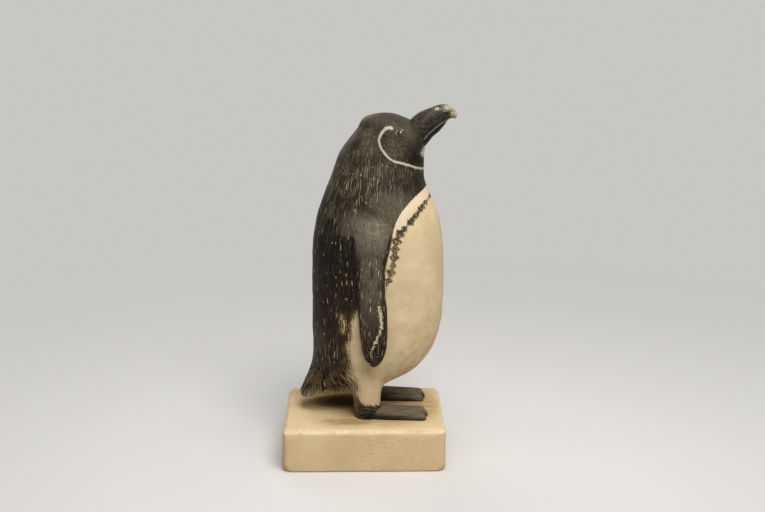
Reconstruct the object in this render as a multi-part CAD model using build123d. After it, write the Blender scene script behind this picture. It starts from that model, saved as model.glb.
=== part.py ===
from build123d import *

import math
import os
from collections import namedtuple

# A carved and painted wooden penguin that stands on a wooden block.
# Millimetres. The bird faces +X, its left is +Y and +Z is up. The origin is the centre of the
# block's underside. Heights of the bird are measured from the top of the block.

# Block
base_length = 74.0
base_width = 60.0
base_height = 20.0
base_corner_radius = 2.6
base_top_rounding = 1.6
base_foot_rounding = 0.8
bird_shift = 2.5  # the bird's middle plane lies this far to its left of the block's middle

# Fits
glue_gap = 0.1  # room for glue round every peg, dowel and tenon
outline_points = 16  # points of the closed curve round each carved section

# The trunk, head and bill are carved rounds between two rails in the bird's middle plane.
# Each section runs from a front point to a back point and is half_width wide on either side.
# The heights in all the tables are drawn for a crown at pattern_z and stretch with crown_z.
crown_z = 139.7
pattern_z = 139.7
Section = namedtuple("Section", "front_x front_z back_x back_z half_width")
neck_row = (27.7, 116.5, -12.7, 116.5, 16.0)
trunk_rows = [
    (28.2, 110.0, -15.2, 110.0, 18.6),
    (30.7, 103.0, -18.0, 103.0, 21.0),
    (34.3, 94.0, -21.0, 94.0, 23.4),
    (36.4, 84.0, -23.0, 84.0, 25.0),
    (37.2, 70.0, -23.8, 70.0, 25.6),
    (37.2, 55.0, -24.0, 58.0, 25.5),
    (36.0, 42.0, -24.0, 47.0, 24.8),
    (32.5, 30.5, -23.9, 37.0, 23.4),
    (25.0, 21.5, -23.9, 29.5, 21.4),
    (15.0, 16.0, -24.3, 24.5, 19.0),
    (3.0, 12.8, -25.2, 20.3, 16.4),
    (-9.0, 10.0, -26.7, 16.2, 13.5),
    (-19.0, 7.6, -28.3, 12.0, 10.5),
    (-26.5, 5.4, -29.9, 7.6, 7.0),
]
head_rows = [
    (27.9, 120.5, -11.0, 121.2, 14.8),
    (28.2, 124.3, -8.0, 126.0, 13.6),
    (27.8, 127.8, -4.6, 130.0, 12.8),
    (26.6, 131.0, -2.4, 133.0, 12.1),
    (24.6, 134.0, -1.2, 135.6, 11.0),
    (21.5, 136.4, 0.6, 137.6, 8.8),
    (17.8, 138.1, 3.4, 138.8, 5.8),
    (14.2, 139.2, 6.6, 139.5, 2.9),
]
crown_x = 10.4

# Bill, from a root that is buried in the face to the hooked tip, and its round tenon
bill_rows = [
    (24.6, 121.4, 17.6, 133.4, 5.2),
    (28.3, 124.6, 21.1, 136.6, 5.0),
    (31.6, 128.6, 25.2, 139.7, 4.4),
    (34.5, 131.2, 30.4, 141.9, 3.7),
    (37.0, 134.2, 35.2, 143.3, 3.1),
    (38.7, 136.6, 38.6, 143.0, 2.6),
    (40.5, 137.1, 41.0, 141.2, 2.0),
    (42.0, 137.1, 42.6, 139.4, 1.2),
]
tenon_diameter = 6.0
tenon_length = 9.0

# Neck dowel
dowel_diameter = 9.5
dowel_in_head = 13.0
dowel_in_trunk = 22.0
dowel_setback = 0.5  # the dowel stands this far behind the middle of the neck

# Legs, carved with the trunk: centre and radius at each height
LegRing = namedtuple("LegRing", "height centre_x centre_y radius")
leg_rows = [
    (0.0, 1.9, 13.0, 5.4),
    (4.5, 1.9, 13.0, 6.3),
    (8.0, 2.2, 13.0, 5.5),
    (13.0, 2.2, 12.6, 6.3),
    (18.0, 2.0, 11.6, 7.8),
    (24.0, 1.6, 10.2, 7.8),
]

# Feet, glued to the block against the front of the legs
foot_length = 24.0
foot_heel_width = 10.6
foot_toe_width = 15.0
toe_radius = 2.8
foot_heel_height = 4.8
foot_toe_height = 2.5
foot_heel_reach = 3.8  # the heel's rear edge lies this far in front of the leg's centre
foot_rounding = 0.5
middle_toe_lead = 1.4

# Flippers: a flat round at each height, placed off the trunk's side by stand_off
FlipperRing = namedtuple("FlipperRing", "height front_x back_x stand_off half_thickness")
flipper_rows = [
    (96.5, 8.6, -0.6, -3.2, 2.4),
    (91.0, 11.0, -2.4, -1.0, 3.4),
    (84.0, 11.8, -3.2, 0.2, 3.6),
    (75.0, 10.2, -3.2, 0.6, 3.3),
    (65.0, 9.6, -3.1, 1.0, 2.9),
    (54.0, 10.5, -2.4, 1.9, 2.6),
    (44.0, 10.5, -1.2, 2.9, 2.3),
    (36.0, 9.6, 0.0, 3.4, 2.0),
    (31.0, 7.6, 1.2, 3.6, 1.6),
    (28.6, 5.6, 2.9, 3.7, 1.0),
]

# Shoulder peg, driven through the flipper into the trunk, and the putty plug over its end
peg_diameter = 4.0
peg_length = 16.0
plug_depth = 1.6

# Eyes: a glass bead on a wire, bedded in putty
eye_over_neck = 14.9
eye_behind_neck_front = 11.1
eye_diameter = 3.4
eye_proud = 0.8  # how far the bead stands out of the face
putty_diameter = 5.2
putty_under_bead = 0.5
wire_diameter = 0.8
wire_length = 8.0
wire_in_bead = 1.0

# Countersunk wood screws, up through the block into the legs
screw_length = 32.0
screw_diameter = 3.2
screw_head_diameter = 6.2
screw_head_height = 2.0
screw_slot_width = 0.9
screw_slot_depth = 0.8
screw_recess = 1.2  # depth of the head below the block's underside

right = -1  # side of the bird's right, along Y
left = 1
side_names = {right: "right", left: "left"}

stretch = crown_z / pattern_z


def drawn_section(row):
    """Section of one table row, stretched to the bird's own height."""
    front_x, front_z, back_x, back_z, half_width = row
    return Section(front_x, front_z * stretch, back_x, back_z * stretch, half_width)


neck = drawn_section(neck_row)
trunk_sections = [neck] + [drawn_section(row) for row in trunk_rows]
head_sections = [drawn_section(row) for row in head_rows]
bill_sections = [drawn_section(row) for row in bill_rows]
leg_rings = [LegRing(height * stretch, *rest) for height, *rest in leg_rows]
flipper_rings = [FlipperRing(height * stretch, *rest) for height, *rest in flipper_rows]
shoulder_ring = flipper_rings[2]  # the peg sits in the middle of this one


def section_plane(section):
    """Plane through a section's front and back points and the Y direction, X towards the front."""
    ahead = Vector(section.front_x - section.back_x, 0, section.front_z - section.back_z)
    middle = Vector(section.front_x + section.back_x, 0, section.front_z + section.back_z) * 0.5
    return Plane(origin=middle, x_dir=ahead, z_dir=ahead.cross(Vector(0, 1, 0)))


def oval(half_length, half_width):
    """Closed oval face that starts at its front end, whichever of its sizes is larger."""
    turns = [2 * math.pi * i / outline_points for i in range(outline_points)]
    points = [(half_length * math.cos(t), half_width * math.sin(t)) for t in turns]
    return make_face(Spline(*points, periodic=True))


def section_face(section):
    """The oval of one carved section, on its plane."""
    half_length = math.hypot(section.front_x - section.back_x, section.front_z - section.back_z) / 2
    return section_plane(section) * oval(half_length, section.half_width)


def largest_solid(shape):
    """The main solid of a cut that may leave crumbs."""
    return max(shape.solids(), key=lambda solid: solid.volume)


def side_of(solid, x, z, side):
    """Where a line along Y through x and z leaves the solid on one side."""
    line = Axis((x, 0, z), (0, 1, 0))
    hits = [point for face in solid.faces() for point, _ in face.find_intersection_points(line)]
    return max(point.Y * side for point in hits) * side


def rod_along_y(x, z, start_y, end_y, radius):
    """Round rod along Y between two depths."""
    length = abs(end_y - start_y)
    return Pos(x, (start_y + end_y) / 2, z) * Rot(90, 0, 0) * Cylinder(radius, length)


def carve_bird():
    """Trunk with the tail, and head, parted at the neck, with no legs or holes yet."""
    rounds = [section_face(s) for s in reversed(trunk_sections)]
    rounds += [section_face(s) for s in head_sections]
    whole = loft(rounds + [Vertex(crown_x, 0, crown_z)])
    seam = section_plane(neck)
    return split(whole, seam, Keep.BOTTOM), split(whole, seam, Keep.TOP)


def carve_leg(side):
    """One leg, from the block up into the trunk."""
    return loft([Pos(r.centre_x, side * r.centre_y, r.height) * Circle(r.radius) for r in leg_rings])


def carve_flipper(trunk, side):
    """One flipper, shaped to the side of the trunk, with no hole yet."""
    rounds = []
    for ring in flipper_rings:
        middle_x = (ring.front_x + ring.back_x) / 2
        out = side_of(trunk, middle_x, ring.height, side) + side * ring.stand_off
        face = oval((ring.front_x - ring.back_x) / 2, ring.half_thickness)
        rounds.append(Pos(middle_x, out, ring.height) * face)
    return largest_solid(loft(rounds) - trunk)


def carve_foot(leg, side):
    """One webbed foot: a wedge with three toes, fitted to the front of the leg."""
    ankle = leg_rings[0]
    heel_x = ankle.centre_x + foot_heel_reach
    toe_x = heel_x + foot_length - toe_radius - middle_toe_lead
    toe_pitch = foot_toe_width / 2 - toe_radius
    heel_edge = Line((heel_x, -foot_heel_width / 2), (heel_x, foot_heel_width / 2))
    web = Sketch()
    for toe in (-1, 0, 1):
        lead = middle_toe_lead if toe == 0 else 0
        tip = Pos(toe_x + lead, toe * toe_pitch) * Circle(toe_radius)
        web += make_hull(heel_edge.edges() + tip.edges())
    slab = extrude(web, foot_heel_height)
    tip_x = heel_x + foot_length
    wedge = Polygon(
        (heel_x, 0),
        (tip_x, 0),
        (tip_x, foot_toe_height),
        (heel_x, foot_heel_height),
        align=None,
    )
    foot = slab & extrude(Plane.XZ * wedge, foot_toe_width, both=True)
    top = foot.faces().sort_by(Axis.Z)[-1]
    foot = fillet(top.edges(), foot_rounding)
    return largest_solid(Pos(0, side * ankle.centre_y, 0) * foot - leg)


def make_screw(side):
    """Slotted countersunk wood screw below one leg."""
    ankle = leg_rings[0]
    bottom = -base_height + screw_recess
    head = Cone(
        screw_head_diameter / 2,
        screw_diameter / 2,
        screw_head_height,
        align=(Align.CENTER, Align.CENTER, Align.MIN),
    )
    shank = Cylinder(screw_diameter / 2, screw_length, align=(Align.CENTER, Align.CENTER, Align.MIN))
    slot = Box(
        screw_head_diameter,
        screw_slot_width,
        screw_slot_depth,
        align=(Align.CENTER, Align.CENTER, Align.MIN),
    )
    return Pos(ankle.centre_x, side * ankle.centre_y, bottom) * (head + shank - slot)


def screw_room(side):
    """Space that the base and leg leave for a screw, open below."""
    ankle = leg_rings[0]
    low = (Align.CENTER, Align.CENTER, Align.MIN)
    mouth = Cylinder(screw_head_diameter / 2 + glue_gap, screw_recess, align=low)
    seat = Cone(
        screw_head_diameter / 2 + glue_gap,
        screw_diameter / 2 + glue_gap,
        screw_head_height,
        align=low,
    )
    bore = Cylinder(screw_diameter / 2 + glue_gap, screw_recess + screw_length + glue_gap, align=low)
    room = mouth + Pos(0, 0, screw_recess) * seat + bore
    return Pos(ankle.centre_x, side * ankle.centre_y, -base_height) * room


def make_base():
    """The block, with its edges eased and its two screw holes."""
    block = Box(base_length, base_width, base_height, align=(Align.CENTER, Align.CENTER, Align.MAX))
    block = Pos(0, -bird_shift, 0) * block
    block = fillet(block.edges().filter_by(Axis.Z), base_corner_radius)
    block = fillet(block.faces().sort_by(Axis.Z)[-1].edges(), base_top_rounding)
    block = fillet(block.faces().sort_by(Axis.Z)[0].edges(), base_foot_rounding)
    for side in (right, left):
        block -= screw_room(side)
    return block


def make_bill(head):
    """Hooked bill that sits on the face, and the tenon that holds it."""
    horn = largest_solid(loft([section_face(s) for s in bill_sections]) - head)
    return horn + bill_tenon(tenon_diameter / 2, tenon_length)


def bill_tenon(radius, depth):
    """Round tenon along the bill's axis, from inside the bill back into the head."""
    root, end = bill_sections[1], bill_sections[3]
    start = section_plane(end).origin
    axis = (section_plane(root).origin - start).normalized()
    reach = (section_plane(root).origin - start).length + depth
    return Plane(origin=start, z_dir=axis) * Cylinder(
        radius, reach, align=(Align.CENTER, Align.CENTER, Align.MIN)
    )


def neck_dowel(radius, slack):
    """Dowel across the neck seam. Slack lengthens both ends, for its hole."""
    seam = section_plane(neck)
    length = dowel_in_head + dowel_in_trunk + 2 * slack
    middle = (dowel_in_head - dowel_in_trunk) / 2
    return seam * Pos(-dowel_setback, 0, middle) * Cylinder(radius, length)


def make_eye(head, side):
    """Bead, wire and putty of one eye, and the socket to cut in the head."""
    eye_x = neck.front_x - eye_behind_neck_front
    eye_z = neck.front_z + eye_over_neck
    skin = side_of(head, eye_x, eye_z, side)
    bead_y = skin - side * (eye_diameter / 2 - eye_proud)
    putty_depth = eye_diameter - eye_proud + putty_under_bead
    floor_y = skin - side * putty_depth
    wire_start = bead_y - side * (eye_diameter / 2 - wire_in_bead)
    wire_end = wire_start - side * wire_length
    wire = rod_along_y(eye_x, eye_z, wire_start, wire_end, wire_diameter / 2)
    hole_end = wire_end - side * glue_gap
    wire_hole = rod_along_y(eye_x, eye_z, wire_start, hole_end, wire_diameter / 2 + glue_gap)
    ball = Pos(eye_x, bead_y, eye_z) * Sphere(eye_diameter / 2)
    socket = rod_along_y(eye_x, eye_z, floor_y, skin + side * putty_depth, putty_diameter / 2)
    putty = largest_solid((socket & head) - ball - wire_hole)
    return ball - wire, wire, putty, socket + wire_hole


def make_shoulder(flipper, side):
    """Peg and putty plug of one shoulder, and the hole that they fill."""
    peg_x = (shoulder_ring.front_x + shoulder_ring.back_x) / 2
    peg_z = shoulder_ring.height
    skin = side_of(flipper, peg_x, peg_z, side)
    cover = skin - side * plug_depth
    inner = cover - side * peg_length
    peg = rod_along_y(peg_x, peg_z, inner, cover, peg_diameter / 2)
    hole_radius = peg_diameter / 2 + glue_gap
    hole = rod_along_y(peg_x, peg_z, inner - side * glue_gap, skin + side * plug_depth, hole_radius)
    mouth = rod_along_y(peg_x, peg_z, cover, skin + side * plug_depth, hole_radius)
    return peg, largest_solid(mouth & flipper), hole


def make_pieces():
    """Every piece of the figurine by name, in the bird's frame."""
    trunk, head = carve_bird()
    legs = {side: carve_leg(side) for side in (right, left)}
    body = trunk + legs[right] + legs[left] - neck_dowel(dowel_diameter / 2 + glue_gap, glue_gap)
    pieces = {"base_block": make_base(), "bill": make_bill(head)}
    carved_head = head - neck_dowel(dowel_diameter / 2 + glue_gap, glue_gap)
    carved_head -= bill_tenon(tenon_diameter / 2 + glue_gap, tenon_length + glue_gap)
    for side, name in side_names.items():
        flipper = carve_flipper(trunk, side)
        peg, plug, peg_hole = make_shoulder(flipper, side)
        bead, wire, putty, socket = make_eye(head, side)
        pieces[f"{name}_flipper"] = flipper - peg_hole
        pieces[f"{name}_shoulder_peg"] = peg
        pieces[f"{name}_shoulder_plug"] = plug
        pieces[f"{name}_eye_bead"] = bead
        pieces[f"{name}_eye_wire"] = wire
        pieces[f"{name}_eye_putty"] = putty
        pieces[f"{name}_foot"] = carve_foot(legs[side], side)
        body -= peg_hole
        body -= screw_room(side)
        carved_head -= socket
    pieces["body"] = largest_solid(body)
    pieces["head"] = largest_solid(carved_head)
    pieces["neck_dowel"] = neck_dowel(dowel_diameter / 2, 0)
    pieces["leg_screws"] = Compound([make_screw(right).solid(), make_screw(left).solid()])
    return pieces


os.makedirs("parts", exist_ok=True)
stand = Pos(0, bird_shift, base_height)
for node, shape in make_pieces().items():
    export_step(stand * shape, f"parts/{node}.step")
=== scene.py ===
import math
from functools import partial, partialmethod, reduce

import bpy
import numpy as np
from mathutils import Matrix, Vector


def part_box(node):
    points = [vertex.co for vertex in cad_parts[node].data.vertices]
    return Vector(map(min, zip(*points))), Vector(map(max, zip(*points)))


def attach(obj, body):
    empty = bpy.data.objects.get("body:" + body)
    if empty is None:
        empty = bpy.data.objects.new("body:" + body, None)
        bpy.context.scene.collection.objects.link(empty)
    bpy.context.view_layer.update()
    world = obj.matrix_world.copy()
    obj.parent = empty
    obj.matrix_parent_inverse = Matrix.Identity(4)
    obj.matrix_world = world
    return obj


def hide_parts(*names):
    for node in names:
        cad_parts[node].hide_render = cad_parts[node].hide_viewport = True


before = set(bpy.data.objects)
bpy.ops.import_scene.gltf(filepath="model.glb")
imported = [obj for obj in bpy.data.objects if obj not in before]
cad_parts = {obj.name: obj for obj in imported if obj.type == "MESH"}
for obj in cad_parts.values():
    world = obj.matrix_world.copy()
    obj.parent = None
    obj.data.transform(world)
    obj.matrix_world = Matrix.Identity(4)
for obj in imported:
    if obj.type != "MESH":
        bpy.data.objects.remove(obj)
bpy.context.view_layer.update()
print("frame loaded")

# Lengths are millimetres in the bird's own frame: x forwards, y to its left, z up from the block's top.
# toModel puts them in the model's frame, in metres.
standPlace = np.array((0.0, 2.5, 20.0))
rightSide, leftSide = -1, 1
sideNames = {rightSide: "right", leftSide: "left"}
sharpFrom = 55  # degrees between two faces past which their edge stays sharp


def toModel(points):
    return (points + standPlace) / 1000


def toBird(points):
    return points * 1000 - standPlace


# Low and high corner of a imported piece's box
def nodeBox(name):
    return [toBird(np.array(corner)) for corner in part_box(name)]


def fullTurn(count):
    return np.linspace(0, 2 * math.pi, count, endpoint=False)


# 0 at start, 1 at end and eased between; it falls where end is the smaller one
def smoothStep(start, end, value):
    t = np.clip((value - start) / (end - start), 0, 1)
    return t * t * (3 - 2 * t)


# Length along a line at each of its points
def runLengths(line):
    return np.concatenate(([0], np.cumsum(np.linalg.norm(np.diff(line, axis=0), axis=1))))


# Smooth curve through table rows: chord-length spacing and cubic Hermite pieces.
# spots are row numbers, 1.5 being halfway between the second row and the third.
def smoothRows(rows, spots):
    rows = np.asarray(rows, float)
    knots = runLengths(rows)
    slopes = np.gradient(rows, knots, axis=0, edge_order=2)
    k = np.clip(np.floor(spots).astype(int), 0, len(rows) - 2)
    t = (spots - k)[:, None]
    h = (knots[k + 1] - knots[k])[:, None]
    early = (1 + 2 * t) * (1 - t) ** 2 * rows[k] + t * (1 - t) ** 2 * h * slopes[k]
    late = t * t * (3 - 2 * t) * rows[k + 1] + t * t * (t - 1) * h * slopes[k + 1]
    return early + late


def smoothLine(rows, count):
    return smoothRows(rows, np.linspace(0, len(rows) - 1, count))


# Gentle lumps of about one wavelength: a sum of sine waves in seeded directions, mostly within -1 and 1.
def lumps(points, wave, seed):
    count = 20
    draw = np.random.default_rng(seed)
    ways = draw.normal(size=(count, points.shape[1]))
    ways /= np.linalg.norm(ways, axis=1)[:, None]
    pace = 2 * math.pi / (wave * draw.uniform(0.7, 1.5, count))
    phase = draw.uniform(0, 2 * math.pi, count)
    return np.sin(points @ (ways * pace[:, None]).T + phase).sum(1) / math.sqrt(count)


# A spot is its middle and its reach along two axes. ovalReach is 0 at the middle and 1 on the oval,
# blob is 1 at the middle and fades out round the oval.
def ovalReach(u, v, spot):
    midU, midV, reachU, reachV = spot
    return np.hypot((u - midU) / reachU, (v - midV) / reachV)


def blob(u, v, spot, power=2):
    midU, midV, reachU, reachV = spot
    return np.exp(-((u - midU) / reachU) ** power - ((v - midV) / reachV) ** power)


# Distance from points to a line of straight pieces, signed + on its left, and the length along it.
def lineDistance(points, line):
    start, run = line[:-1], np.diff(line, axis=0)
    length = np.linalg.norm(run, axis=1)
    offset = points[:, None] - start
    along = np.clip((offset * run).sum(2) / length ** 2, 0, 1)
    gap = np.linalg.norm(offset - along[..., None] * run, axis=2)
    best = gap.argmin(1)
    pick = np.arange(len(points))
    near = offset[pick, best]
    side = np.sign(run[best, 0] * near[:, 1] - run[best, 1] * near[:, 0])
    travelled = runLengths(line)[best] + along[pick, best] * length[best]
    return gap[pick, best] * side, travelled


# Faces of a grid that closes round its columns. Its end rows are fanned to their middles,
# or joined to each other when ring is set.
def gridFaces(grid, ring=False):
    rows, cols = grid.shape[:2]
    index = np.arange(rows * cols).reshape(rows, cols)
    below, above = (index, np.roll(index, -1, 0)) if ring else (index[:-1], index[1:])
    quads = np.stack((below, np.roll(below, -1, 1), np.roll(above, -1, 1), above), -1).reshape(-1, 4)
    points = grid.reshape(-1, 3)
    fans = []
    if not ring:
        points = np.concatenate((points, [grid[0].mean(0), grid[-1].mean(0)]))
        low = np.stack((np.roll(index[0], -1), index[0], np.full(cols, rows * cols)), -1)
        high = np.stack((index[-1], np.roll(index[-1], -1), np.full(cols, rows * cols + 1)), -1)
        fans = np.concatenate((low, high)).tolist()
    corner = points[quads]
    volume = (corner[:, 0] * np.cross(corner[:, 1], corner[:, 2])).sum()
    volume += (corner[:, 0] * np.cross(corner[:, 2], corner[:, 3])).sum()
    faces = quads.tolist() + fans
    if volume < 0:  # inside out
        faces = [face[::-1] for face in faces]
    return points, faces


def meshOf(name, *grids, ring=False):
    points, faces = [], []
    for grid in grids:
        newPoints, newFaces = gridFaces(grid, ring)
        shift = sum(len(p) for p in points)
        points.append(newPoints)
        faces += [[i + shift for i in face] for face in newFaces]
    mesh = bpy.data.meshes.new(name)
    mesh.from_pydata(toModel(np.concatenate(points)), [], faces)
    mesh.update()
    return mesh


def readTriples(items, field):
    flat = np.empty(len(items) * 3)
    items.foreach_get(field, flat)
    return flat.reshape(-1, 3)


def meshPoints(mesh):
    return toBird(readTriples(mesh.vertices, "co"))


def meshNormals(mesh):
    return readTriples(mesh.vertex_normals, "vector")


def setPoints(mesh, points):
    mesh.vertices.foreach_set("co", toModel(points).ravel())
    mesh.update()


# Moves each point outwards by its own amount
def swell(mesh, points, amount):
    points = points + meshNormals(mesh) * amount[:, None]
    setPoints(mesh, points)
    return points


# Numbers or vectors kept with the mesh for its paint; a single number is the same all over.
def setFields(mesh, **fields):
    for name, values in fields.items():
        values = np.asarray(values, np.float32)
        if values.ndim == 0:
            values = np.full(len(mesh.vertices), values)
        kind, part = ("FLOAT", "value") if values.ndim == 1 else ("FLOAT_VECTOR", "vector")
        attribute = mesh.attributes.get(name) or mesh.attributes.new(name, kind, "POINT")
        attribute.data.foreach_set(part, values.ravel())


# Two numbers for each point as one vector
def pairUp(first, second):
    return np.stack((first, second, np.zeros_like(first)), -1)


# Moves each point towards the middle of its neighbours by its own weight, round after round.
def relax(mesh, points, weight, rounds):
    pairs = np.empty(len(mesh.edges) * 2, np.int32)
    mesh.edges.foreach_get("vertices", pairs)
    a, b = pairs.reshape(-1, 2).T
    number = len(points)
    share = weight / np.maximum(np.bincount(pairs, minlength=number), 1)
    for _ in range(rounds):
        total = np.stack(
            [np.bincount(a, points[b, k], number) + np.bincount(b, points[a, k], number) for k in range(3)],
            axis=1,
        )
        points = points * (1 - weight)[:, None] + total * share[:, None]
    return points


def addObject(name, data):
    item = bpy.data.objects.new(name, data)
    bpy.context.scene.collection.objects.link(item)
    return item


# The mesh as one modifier leaves it
def meshThrough(mesh, kind, **settings):
    helper = addObject(mesh.name + "Helper", mesh)
    modifier = helper.modifiers.new("change", kind)
    for key, value in settings.items():
        setattr(modifier, key, value)
    graph = bpy.context.evaluated_depsgraph_get()
    result = bpy.data.meshes.new_from_object(helper.evaluated_get(graph))
    bpy.data.objects.remove(helper)
    return result


def addPiece(name, mesh, material, slotName, *nodes):
    mesh.materials.clear()
    mesh.materials.append(material)
    mesh.polygons.foreach_set("use_smooth", np.ones(len(mesh.polygons), bool))
    mesh.set_sharp_from_angle(angle=math.radians(sharpFrom))
    piece = addObject(name, mesh)
    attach(piece, "root")
    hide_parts(*nodes)


# Small writer of shader nodes for a material or the world: most calls add one node and give its output.
class Paint:
    def __init__(self, owner):
        owner.use_nodes = True
        self.owner, self.tree = owner, owner.node_tree
        self.tree.nodes.clear()

    def node(self, kind, inputs=None, **settings):
        node = self.tree.nodes.new("ShaderNode" + kind)
        for key, value in settings.items():
            setattr(node, key, value)
        for key, value in (inputs or {}).items():
            if isinstance(value, bpy.types.NodeSocket):
                self.tree.links.new(value, node.inputs[key])
            else:
                node.inputs[key].default_value = value
        return node

    def number(self, name):
        return self.node("Attribute", attribute_name=name).outputs["Fac"]

    def vector(self, name):
        return self.node("Attribute", attribute_name=name).outputs["Vector"]

    def apart(self, vector):
        return self.node("SeparateXYZ", {0: vector}).outputs

    def together(self, x, y):
        return self.node("CombineXYZ", {0: x, 1: y}).outputs[0]

    # place in millimetres, times a scale
    def place(self, scale=(1, 1, 1)):
        return self.stretch(self.node("TexCoord").outputs["Object"], [1000 * s for s in scale])

    def stretch(self, spot, scale, shift=(0, 0, 0)):
        return self.node("Mapping", {"Vector": spot, "Scale": scale, "Location": shift}).outputs[0]

    def math(self, operation, a, b=0.0):
        return self.node("Math", {0: a, 1: b}, operation=operation).outputs[0]

    # one operation from the first value through to the last
    def chain(self, operation, *values):
        return reduce(partial(self.math, operation), values)

    plus, minus = partialmethod(chain, "ADD"), partialmethod(chain, "SUBTRACT")
    times, most = partialmethod(chain, "MULTIPLY"), partialmethod(chain, "MAXIMUM")

    def noise(self, spot, scale, detail=2.0, roughness=0.5):
        inputs = {"Vector": spot, "Scale": scale, "Detail": detail, "Roughness": roughness}
        return self.node("TexNoise", inputs).outputs["Fac"]

    def ramp(self, value, low, high, start=0.0, end=1.0):
        inputs = {"Value": value, "From Min": low, "From Max": high, "To Min": start, "To Max": end}
        return self.node("MapRange", inputs).outputs["Result"]

    # an output as it is; the name of a tone or three numbers as a colour
    def colour(self, tone):
        tone = tones[tone] if isinstance(tone, str) else tone
        return tone if isinstance(tone, bpy.types.NodeSocket) else (*tone, 1)

    # coats over a ground, each the share that it covers and its tone
    def coats(self, ground, *layers):
        for share, tone in layers:
            inputs = {0: share, 6: self.colour(ground), 7: self.colour(tone)}
            ground = self.node("Mix", inputs, data_type="RGBA").outputs[2]
        return ground

    def bump(self, height, distance, strength=1.0, below=None):
        inputs = {"Height": height, "Distance": distance / 1000, "Strength": strength}
        if below is not None:
            inputs["Normal"] = below
        return self.node("Bump", inputs).outputs[0]

    def finish(self, colour, roughness, relief=None, gloss=0.5, **more):
        inputs = {"Base Color": colour, "Roughness": roughness, "Specular IOR Level": gloss, **more}
        if relief is not None:
            inputs["Normal"] = relief
        shader = self.node("BsdfPrincipled", inputs).outputs[0]
        self.node("OutputMaterial", {"Surface": shader})
        return self.owner


def newPaint(name):
    return Paint(bpy.data.materials.new(name))


# The bird: trunk from the tail up, neck seam, head to the crown.
# Each row is front x, front z, back x, back z and half width; a section is the oval through them.
bird = {
    "trunk": [
        (-27.0, 6.2, -30.4, 8.0, 7.0),
        (-19.0, 7.4, -28.7, 12.0, 10.5),
        (-9.0, 8.8, -27.0, 16.2, 13.5),
        (3.4, 11.0, -25.4, 20.3, 16.4),
        (15.4, 15.0, -24.4, 24.5, 19.0),
        (25.3, 21.1, -23.9, 29.5, 21.4),
        (32.5, 30.5, -23.9, 37.0, 23.4),
        (36.0, 42.0, -24.0, 47.0, 24.8),
        (37.2, 55.0, -24.0, 58.0, 25.5),
        (37.2, 70.0, -23.8, 70.0, 25.6),
        (36.4, 84.0, -23.0, 84.0, 25.0),
        (34.3, 94.0, -21.0, 94.0, 23.4),
        (30.7, 103.0, -18.0, 103.0, 21.0),
        (28.2, 110.0, -15.2, 110.0, 18.6),
    ],
    "neck": (27.7, 116.5, -12.7, 116.5, 16.0),
    "head": [
        (27.9, 120.5, -11.0, 121.2, 14.8),
        (28.2, 124.3, -8.0, 126.0, 13.6),
        (27.8, 127.8, -4.6, 130.0, 12.8),
        (26.6, 131.0, -2.4, 133.0, 12.1),
        (24.6, 134.0, -1.2, 135.6, 11.0),
        (21.5, 136.4, 0.6, 137.6, 8.8),
        (17.8, 138.1, 3.4, 138.8, 5.8),
        (14.2, 139.2, 6.6, 139.5, 2.9),
        (11.6, 139.58, 9.2, 139.63, 0.9),
    ],
    "sections": 500,  # of the table that the flippers and eyelids are fitted to
}
birdRows = bird["trunk"] + [bird["neck"]] + bird["head"]
birdTable = smoothLine(birdRows, bird["sections"])
neckSpot = len(bird["trunk"])
neckHeight = bird["neck"][1]


# Ovals between two rails in the middle plane: middle + half length * cos + half width * sin.
def ovals(table, around):
    turn = fullTurn(around)
    frontX, frontZ, backX, backZ, width = (column[:, None] for column in table.T)
    x = (frontX + backX) / 2 + (frontX - backX) / 2 * np.cos(turn)
    z = (frontZ + backZ) / 2 + (frontZ - backZ) / 2 * np.cos(turn)
    return np.stack((x, width * np.sin(turn), z), -1)


# How far out the bird's side lies at x and z: the two nearest sections, blended by height.
def birdSide(x, z):
    shape = x.shape
    x, z = x.ravel(), z.ravel()
    frontX, frontZ, backX, backZ, width = birdTable.T
    tilt = (frontZ - backZ) / (frontX - backX)
    height = frontZ[:, None] + tilt[:, None] * (x - frontX[:, None])
    k = np.clip((height < z).sum(0) - 1, 0, len(birdTable) - 2)
    pick = np.arange(len(x))
    t = np.clip((z - height[k, pick]) / (height[k + 1, pick] - height[k, pick]), 0, 1)
    middle, reach = (frontX + backX) / 2, (frontX - backX) / 2
    low, high = (width[i] * np.sqrt(np.clip(1 - ((x - middle[i]) / reach[i]) ** 2, 0, 1)) for i in (k, k + 1))
    return (low + (high - low) * t).reshape(shape)


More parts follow.
